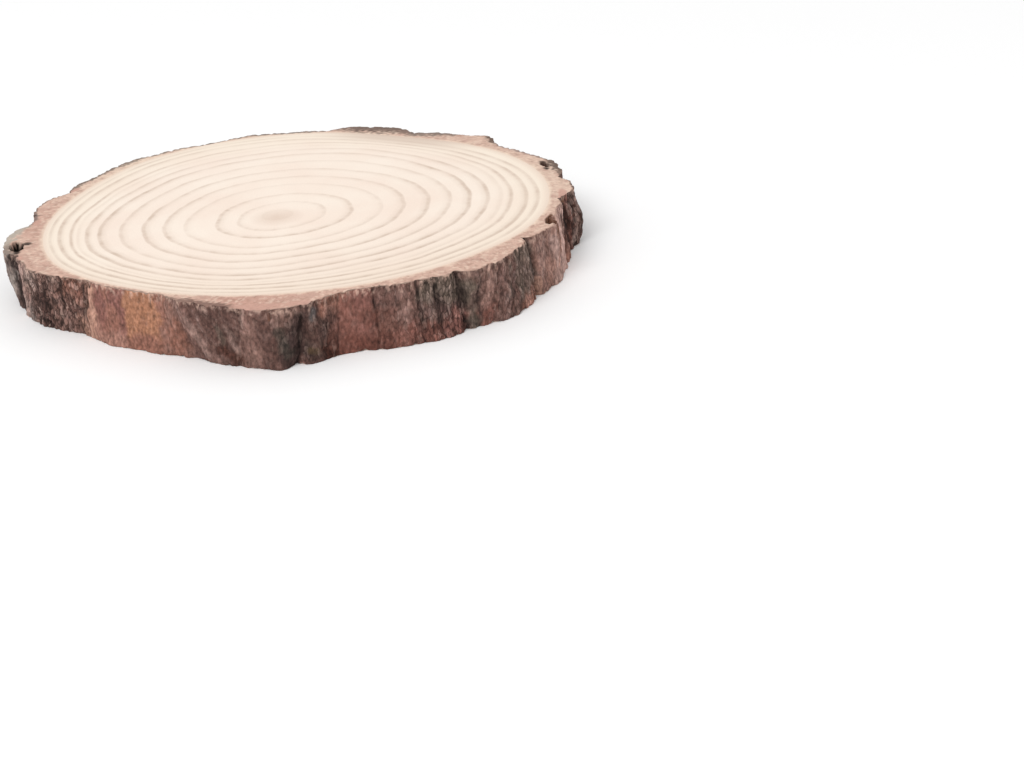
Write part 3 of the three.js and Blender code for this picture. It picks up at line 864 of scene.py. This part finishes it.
def ring_rows():
    """Places in plan and darkness of the rows that draw each ring's line, and of the wood's edge."""
    edge = np.stack(on_trunk(wood_edge), -1)[::BARK_STEPS // WOOD_STEPS] - PITH
    reach = np.hypot(edge[:, 0], edge[:, 1])
    bearing = np.degrees(np.arctan2(edge[:, 1], edge[:, 0])) % 360
    drifts = [(smoothed_round(around(drift, bearing), 7), reaches) for drift, reaches in DRIFTS]
    fade = smoothed_round(around(RING_FADE, bearing), 10)
    middles = [np.zeros(WOOD_STEPS)]
    for share, _ in RINGS:
        strayed = share + sum(drift * np.interp(share, *zip(*reaches)) for drift, reaches in drifts)
        wave = layered_noise(201, bearing / 360, strayed * reach, 18, 10)
        middles.append(strayed * reach + RING_WAVE * wave * min(1, 9 * (1 - share)) * min(1, 2 * share))
    middles.append(reach)
    places, darkness = [], []
    for before, middle, after, (_, strength) in zip(middles, middles[1:], middles[2:], RINGS):
        patchy = 1 + 0.5 * layered_noise(211, bearing / 360, middle, 12, 5)
        for near, part, level in RING_LINE:
            year = middle - before if near < 0 else after - middle
            offset = np.sign(near) * np.minimum(abs(near), abs(part) * year)
            places.append(PITH + edge * ((middle + offset) / reach)[:, None])
            darkness.append(np.clip(level * strength * fade * patchy, 0, 1))
    places.append(PITH + edge)
    darkness.append(np.zeros(WOOD_STEPS))
    return np.array(places), np.array(darkness), reach


def stain_share(rows, share):
    """How much the upper face is stained, beside the bark at the back."""
    bearing = np.degrees(np.arctan2(rows[..., 1] - TRUNK[1], rows[..., 0] - TRUNK[0]))
    beside = np.exp(-(degrees_apart(bearing, STAIN_BEARING) / STAIN_HALF) ** 4)
    return beside * ramp(0.87, 0.97, share)


def make_wood(material):
    rows, darkness, reach = ring_rows()
    count, steps = rows.shape[:2]
    flat = rows.reshape(-1, 2)
    upper = np.column_stack([flat, np.full(len(flat), THICKNESS)])
    lower = np.column_stack([flat, np.zeros(len(flat))])
    piths = np.array([[*PITH, THICKNESS], [*PITH, 0.0]])
    points = np.concatenate([upper, lower, piths])
    here = np.arange(count * steps).reshape(count, steps)
    right = np.roll(here, -1, 1)
    face = np.stack([here[1:], right[1:], right[:-1], here[:-1]], -1).reshape(-1, 4)
    total = count * steps
    core = [[2 * total, a, b] for a, b in zip(here[0].tolist(), right[0].tolist())]
    foot_core = [[2 * total + 1, b + total, a + total] for _, a, b in core]
    wall = np.stack([here[-1], here[-1] + total, right[-1] + total, right[-1]], -1)[:, ::-1]
    faces = face.tolist() + core + (face + total)[:, ::-1].tolist() + foot_core + wall.tolist()
    mesh = new_mesh(points, faces, "wood_surface")
    share = np.hypot(*np.moveaxis(rows - PITH, -1, 0)) / reach
    store(mesh, "line", np.concatenate([darkness.ravel(), darkness.ravel(), [0, 0]]))
    store(mesh, "share", np.concatenate([share.ravel(), share.ravel(), [0, 0]]))
    store(mesh, "stain", np.concatenate([stain_share(rows, share).ravel(), np.zeros(total + 2)]))
    disc_uv(mesh, points, len(wall))
    return add_piece(mesh, "wood", material)


def disc_uv(mesh, points, wall_count):
    """Flat map of the disc: both faces seen from above, with the hidden wall in thin strips below them."""
    room = UV_WALL_ROOM
    reach = np.abs(points[:, :2]).max()
    plan = points[:, :2] / (2 * reach) * (1 - room)
    corners = np.zeros(len(mesh.loops), np.int32)
    mesh.loops.foreach_get("vertex_index", corners)
    uv = plan[corners] + [0.5, 0.5 + room / 2]
    step = np.arange(wall_count)
    strip_steps = wall_count // UV_STRIPS
    left = (step % strip_steps) / strip_steps
    low = (step // strip_steps) * room / 2 / UV_STRIPS + 0.005
    tall = room / 3 / UV_STRIPS
    wall = np.zeros((wall_count, 4, 2))
    for corner, (over, up) in enumerate(((1, 1), (1, 0), (0, 0), (0, 1))):
        wall[:, corner, 0] = left + over / strip_steps
        wall[:, corner, 1] = low + up * tall
    uv[-4 * wall_count:] = wall.reshape(-1, 2)
    layer = mesh.uv_layers.new(name="OFBake")
    layer.data.foreach_set("uv", uv.astype(np.float32).ravel())


# Materials

class Nodes:
    """A material's node tree, with short ways to add to it."""

    def __init__(self, name):
        self.material = bpy.data.materials.new(name)
        self.material.use_nodes = True
        self.tree = self.material.node_tree
        self.shader = self.tree.nodes["Principled BSDF"]

    def add(self, kind, inputs=None, **settings):
        node = self.tree.nodes.new(kind)
        for key, value in settings.items():
            setattr(node, key, value)
        for key, value in (inputs or {}).items():
            self.feed(node.inputs[key], value)
        return node

    def feed(self, socket, value):
        if isinstance(value, bpy.types.NodeSocket):
            self.tree.links.new(value, socket)
        else:
            socket.default_value = value

    def attribute(self, name, output="Fac"):
        return self.add("ShaderNodeAttribute", attribute_name=name).outputs[output]

    def place(self, scale):
        """Place on the object, in millimetres, stretched by a scale for each axis."""
        where = self.add("ShaderNodeTexCoord").outputs["Object"]
        size = tuple(part / MM for part in scale)
        return self.add("ShaderNodeMapping", {"Vector": where, "Scale": size}).outputs["Vector"]

    def noise(self, where, scale, detail=3.0):
        inputs = {"Vector": where, "Scale": scale, "Detail": detail}
        return self.add("ShaderNodeTexNoise", inputs).outputs["Fac"]

    def bent(self, where, scale, amount):
        """Place moved by noise."""
        inputs = {"Vector": where, "Scale": scale, "Detail": 2.0}
        wander = self.add("ShaderNodeTexNoise", inputs).outputs["Color"]
        inputs = {0: wander, 1: (amount, amount, amount), 2: where}
        return self.add("ShaderNodeVectorMath", inputs, operation="MULTIPLY_ADD").outputs[0]

    def flake(self, where, scale):
        """Random number of each of many small scales."""
        cell = self.add("ShaderNodeTexVoronoi", {"Vector": where, "Scale": scale})
        return self.add("ShaderNodeSeparateColor", {"Color": cell.outputs["Color"]}).outputs["Red"]

    def flake_edge(self, where, scale):
        """Distance from the edge of the same scales."""
        inputs = {"Vector": where, "Scale": scale}
        return self.add("ShaderNodeTexVoronoi", inputs, feature="DISTANCE_TO_EDGE").outputs["Distance"]

    def math(self, operation, *values):
        node = self.add("ShaderNodeMath", operation=operation)
        for socket, value in zip(node.inputs, values):
            self.feed(socket, value)
        return node.outputs[0]

    def span(self, value, low, high, new_low=0.0, new_high=1.0):
        """Value moved from one range to another, and held inside it."""
        inputs = {"Value": value, "From Min": low, "From Max": high, "To Min": new_low, "To Max": new_high}
        return self.add("ShaderNodeMapRange", inputs).outputs["Result"]

    def mix(self, share, first, second):
        node = self.add("ShaderNodeMix", data_type="RGBA")
        for socket, value in zip((node.inputs[0], node.inputs[6], node.inputs[7]), (share, first, second)):
            self.feed(socket, value)
        return node.outputs[2]

    def blend(self, share, first, second):
        """Number between two others."""
        return self.add("ShaderNodeMix", {0: share, 2: first, 3: second}, data_type="FLOAT").outputs[0]

    def scaled(self, colour, factor):
        """Colour made lighter or darker by a factor."""
        return self.add("ShaderNodeVectorMath", {0: colour, "Scale": factor}, operation="SCALE").outputs[0]

    def bump(self, height, distance, strength=1.0):
        inputs = {"Height": height, "Distance": distance * MM, "Strength": strength}
        return self.add("ShaderNodeBump", inputs).outputs["Normal"]

    def finish(self, **inputs):
        for key, value in inputs.items():
            self.feed(self.shader.inputs[key.replace("_", " ")], value)
        return self.material


def bark_material():
    nodes = Nodes("bark_finish")
    rough = nodes.math("POWER", nodes.attribute("rough"), 1.6)
    fine = nodes.noise(nodes.place((1, 1, 0.7)), 1.3, 5)
    fibre = nodes.noise(nodes.place((1, 1, 0.3)), 1.6, 4)
    bent = nodes.bent(nodes.place((1, 1, 0.4)), 0.6, 1.3)
    flake = nodes.flake(bent, 1.25)
    seam = nodes.math("MULTIPLY", nodes.span(nodes.flake_edge(bent, 1.25), 0.02, 0.1, 0.6, 0.0), rough)
    speckle = nodes.math("MULTIPLY", nodes.span(fine, 0.25, 0.75, -0.35, 0.35), nodes.blend(rough, 1.55, 1.0))
    rough_tone = nodes.math("ADD", speckle, nodes.span(fibre, 0.25, 0.75, 0.88, 1.12))
    scale_tone = nodes.math("MULTIPLY", nodes.span(flake, 0.0, 0.8, -0.35, 0.2), rough)
    rough_tone = nodes.math("ADD", rough_tone, scale_tone)
    rough_tone = nodes.math("MULTIPLY", rough_tone, nodes.math("SUBTRACT", 1.0, seam))
    cut_tone = nodes.span(fine, 0.25, 0.75, 0.9, 1.1)
    tone = nodes.blend(nodes.attribute("cut"), rough_tone, cut_tone)
    weathered = nodes.math("MULTIPLY", nodes.span(flake, 0.75, 1.0, 0.0, 0.4), rough)
    colour = nodes.mix(weathered, nodes.attribute("tint", "Color"), rgba(PALE_ASH))
    colour = nodes.scaled(colour, tone)
    height = nodes.math("ADD", nodes.math("MULTIPLY", fibre, 0.5), fine)
    height = nodes.math("SUBTRACT", height, seam)
    return nodes.finish(Base_Color=colour, Roughness=nodes.span(fine, 0.3, 0.7, 0.82, 0.96),
                        Normal=nodes.bump(height, 0.35, 0.8), Specular_IOR_Level=0.15)


def wood_material():
    nodes = Nodes("wood_finish")
    where = nodes.place((1, 1, 0))
    share = nodes.attribute("share")
    worn = nodes.span(nodes.noise(where, 0.5, 3), 0.3, 0.7, 0.65, 1.0)
    line = nodes.math("MULTIPLY", nodes.attribute("line"), worn)
    cloud = nodes.span(nodes.noise(where, 0.05, 4), 0.35, 0.65)
    early = nodes.mix(nodes.math("MULTIPLY", cloud, 0.7), rgba(EARLY_WOOD), rgba(CLOUD_WOOD))
    outer = nodes.span(share, 0.75, 1.0, 0.0, 0.7)
    early = nodes.mix(outer, early, rgba(OUTER_WOOD))
    depth = nodes.add("ShaderNodeSeparateXYZ", {0: where}).outputs["Y"]
    early = nodes.mix(nodes.span(depth, -20.0, -60.0, 0.0, 0.5), early, rgba(FRONT_WOOD))
    middle = {0: where, 1: (*HEART, 0.0)}
    from_heart = nodes.add("ShaderNodeVectorMath", middle, operation="DISTANCE").outputs["Value"]
    early = nodes.mix(nodes.span(from_heart, 7.4, 0.0, 0.0, 0.85), early, rgba(HEART_WOOD))
    early = nodes.mix(nodes.span(share, 0.97, 1.0, 0.0, 0.35), early, rgba(CUT))
    stain = nodes.math("MULTIPLY", nodes.attribute("stain"), 0.5)
    early = nodes.mix(stain, early, rgba(STAIN))
    colour = nodes.mix(line, early, rgba(LATE_WOOD))
    grain = nodes.noise(where, 2.5, 4)
    colour = nodes.scaled(colour, nodes.span(grain, 0.25, 0.75, 0.95, 1.04))
    height = nodes.math("ADD", grain, nodes.math("MULTIPLY", line, 0.4))
    return nodes.finish(Base_Color=colour, Roughness=nodes.span(grain, 0.3, 0.7, 0.58, 0.72),
                        Normal=nodes.bump(height, 0.05, 0.5), Specular_IOR_Level=0.3)


def floor_material():
    nodes = Nodes("floor_finish")
    grey = (FLOOR_GREY, FLOOR_GREY, FLOOR_GREY, 1)
    return nodes.finish(Base_Color=grey, Roughness=0.9, Specular_IOR_Level=0.1)


# Stage

def make_floor():
    half = FLOOR_HALF
    mesh = bpy.data.meshes.new("floor")
    corners = [(-half, -half, 0), (half, -half, 0), (half, half, 0), (-half, half, 0)]
    mesh.from_pydata(corners, [], [(0, 1, 2, 3)])
    mesh.materials.append(floor_material())
    floor = bpy.data.objects.new("floor", mesh)
    bpy.context.scene.collection.objects.link(floor)


def aim_camera():
    """Camera that sees the middle of the upper face at its pixel, at the photograph's angle and lean."""
    wide, tall = IMAGE_SIZE
    ray = Vector(((SLICE_PIXEL[0] - wide / 2) / FOCAL_PIXELS, (tall / 2 - SLICE_PIXEL[1]) / FOCAL_PIXELS, -1))
    ray.normalize()
    up = (Vector((0, 1, 0)) - ray * ray.y).normalized()
    side = ray.cross(up)
    upright = up * math.cos(LEAN_LEFT) - side * math.sin(LEAN_LEFT)
    axis = upright * math.cos(LOOK_DOWN) - ray * math.sin(LOOK_DOWN)
    back = (ray - axis * ray.dot(axis)).normalized()
    turn = Matrix((back.cross(axis), back, axis))
    eye = Vector((0, 0, THICKNESS * MM)) - turn @ ray * SLICE_DISTANCE * MM
    data = bpy.data.cameras.new("camera")
    data.sensor_width = SENSOR_WIDTH
    data.lens = FOCAL_PIXELS / wide * SENSOR_WIDTH
    data.clip_start = NEAREST_SEEN
    data.clip_end = FARTHEST_SEEN
    camera = bpy.data.objects.new("camera", data)
    camera.matrix_world = Matrix.Translation(eye) @ turn.to_4x4()
    bpy.context.scene.collection.objects.link(camera)
    bpy.context.scene.camera = camera


def add_light(name, place, size, power):
    data = bpy.data.lights.new(name, "AREA")
    data.shape = "DISK"
    data.size = size
    data.energy = power
    light = bpy.data.objects.new(name, data)
    light.location = place
    light.rotation_euler = (-Vector(place)).to_track_quat("-Z", "Y").to_euler()
    bpy.context.scene.collection.objects.link(light)


def light_stage():
    world = bpy.data.worlds.new("studio")
    world.use_nodes = True
    background = world.node_tree.nodes["Background"]
    background.inputs["Color"].default_value = (1, 1, 1, 1)
    background.inputs["Strength"].default_value = SKY_STRENGTH
    scene = bpy.context.scene
    scene.world = world
    scene.view_settings.view_transform = "Standard"
    add_light("key", KEY_PLACE, KEY_SIZE, KEY_POWER)


aim_camera()
make_floor()
light_stage()
make_bark(bark_material())
make_wood(wood_material())
